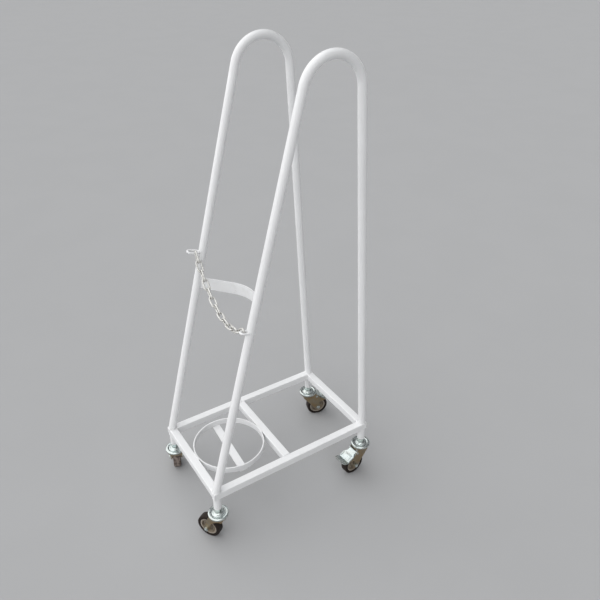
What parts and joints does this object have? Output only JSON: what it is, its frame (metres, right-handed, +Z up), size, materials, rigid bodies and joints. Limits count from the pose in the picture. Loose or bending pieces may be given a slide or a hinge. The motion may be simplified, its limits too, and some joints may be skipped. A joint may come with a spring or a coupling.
{
  "type": "gas cylinder trolley",
  "caption": "Tall welded tube trolley on swivel casters that holds an upright gas cylinder in a floor ring, against a curved strap and behind a safety chain.",
  "frame": {"origin": "centre of the cylinder ring at its lower edge, where the gas cylinder's foot stands", "axes": "+Z up along the ring's axis; +Y from the loading end, where the ring is, towards the push hoops; +X to the right of someone who faces the loading end"},
  "size_m": [0.4387, 0.7023, 1.4282],
  "materials": {
    "white_enamel": "gloss",
    "zinc": "bright zinc plate",
    "galvanised_chain": "dull galvanised",
    "wheel_core": "satin",
    "tyre": "matt"
  },
  "bodies": {
    "frame": {"front_rail": "white_enamel", "rear_rail": "white_enamel", "left_rail": "white_enamel", "right_rail": "white_enamel", "cross_rail": "white_enamel", "left_hoop": "white_enamel", "right_hoop": "white_enamel", "cylinder_ring": "white_enamel", "ring_floor_bar": "white_enamel", "cradle_strap": "white_enamel", "keeper_eye": "white_enamel", "chain_staple": "white_enamel", "caster_sockets": "white_enamel", "socket_bushes": "zinc", "stem_nuts": "zinc", "caster_stems": "zinc", "swivel_caps": "zinc", "bearing_balls": "zinc"},
    "chain": {"chain_link_1": "galvanised_chain", "chain_link_2": "galvanised_chain", "chain_link_3": "galvanised_chain", "chain_link_4": "galvanised_chain", "chain_link_5": "galvanised_chain", "chain_link_6": "galvanised_chain", "chain_link_7": "galvanised_chain", "chain_link_8": "galvanised_chain", "chain_link_9": "galvanised_chain", "chain_link_10": "galvanised_chain", "chain_link_11": "galvanised_chain", "chain_link_12": "galvanised_chain", "chain_link_13": "galvanised_chain"},
    "front_left_swivel": {"front_left_fork": "zinc", "front_left_axle_bolt": "zinc", "front_left_axle_nut": "zinc"},
    "front_left_wheel": {"front_left_wheel_core": "wheel_core", "front_left_tyre": "tyre"},
    "front_right_swivel": {"front_right_fork": "zinc", "front_right_axle_bolt": "zinc", "front_right_axle_nut": "zinc"},
    "front_right_wheel": {"front_right_wheel_core": "wheel_core", "front_right_tyre": "tyre"},
    "rear_right_swivel": {"rear_right_fork": "zinc", "rear_right_axle_bolt": "zinc", "rear_right_axle_nut": "zinc", "rear_right_brake_pin": "zinc"},
    "rear_right_wheel": {"rear_right_wheel_core": "wheel_core", "rear_right_tyre": "tyre"},
    "rear_right_brake": {"rear_right_brake_pedal": "zinc"},
    "rear_left_swivel": {"rear_left_fork": "zinc", "rear_left_axle_bolt": "zinc", "rear_left_axle_nut": "zinc", "rear_left_brake_pin": "zinc"},
    "rear_left_wheel": {"rear_left_wheel_core": "wheel_core", "rear_left_tyre": "tyre"},
    "rear_left_brake": {"rear_left_brake_pedal": "zinc"}
  },
  "joints": [
    {"name": "chain_swing", "type": "hinge", "parent": "frame", "child": "chain", "pos_m": [-0.16274, 0.01509, 0.65044], "axis": [0.9602, -0.059, -0.2731], "range_deg": [-45, 14]},
    {"name": "front_left_swivel_turn", "type": "hinge", "parent": "frame", "child": "front_left_swivel", "pos_m": [-0.1655, -0.129, -0.0882], "axis": [0, 0, 1], "continuous": true},
    {"name": "front_left_wheel_spin", "type": "hinge", "parent": "front_left_swivel", "child": "front_left_wheel", "pos_m": [-0.19933, -0.11669, -0.1462], "axis": [-0.342, -0.9397, 0], "continuous": true},
    {"name": "front_right_swivel_turn", "type": "hinge", "parent": "frame", "child": "front_right_swivel", "pos_m": [0.1655, -0.129, -0.0882], "axis": [0, 0, 1], "continuous": true},
    {"name": "front_right_wheel_spin", "type": "hinge", "parent": "front_right_swivel", "child": "front_right_wheel", "pos_m": [0.13432, -0.147, -0.1462], "axis": [0.5, -0.866, 0], "continuous": true},
    {"name": "rear_right_swivel_turn", "type": "hinge", "parent": "frame", "child": "rear_right_swivel", "pos_m": [0.1655, 0.426, -0.0882], "axis": [0, 0, 1], "continuous": true},
    {"name": "rear_right_wheel_spin", "type": "hinge", "parent": "rear_right_swivel", "child": "rear_right_wheel", "pos_m": [0.16864, 0.39014, -0.1462], "axis": [0.9962, 0.0872, 0], "continuous": true},
    {"name": "rear_right_brake_press", "type": "hinge", "parent": "rear_right_swivel", "child": "rear_right_brake", "pos_m": [0.16811, 0.39611, -0.0942], "axis": [0.9962, 0.0872, 0], "range_deg": [0, 8.5]},
    {"name": "rear_left_swivel_turn", "type": "hinge", "parent": "frame", "child": "rear_left_swivel", "pos_m": [-0.1655, 0.426, -0.0882], "axis": [0, 0, 1], "continuous": true},
    {"name": "rear_left_wheel_spin", "type": "hinge", "parent": "rear_left_swivel", "child": "rear_left_wheel", "pos_m": [-0.15618, 0.46077, -0.1462], "axis": [-0.9659, 0.2588, 0], "continuous": true},
    {"name": "rear_left_brake_press", "type": "hinge", "parent": "rear_left_swivel", "child": "rear_left_brake", "pos_m": [-0.15774, 0.45498, -0.0942], "axis": [-0.9659, 0.2588, 0], "range_deg": [0, 8.5]}
  ]
}
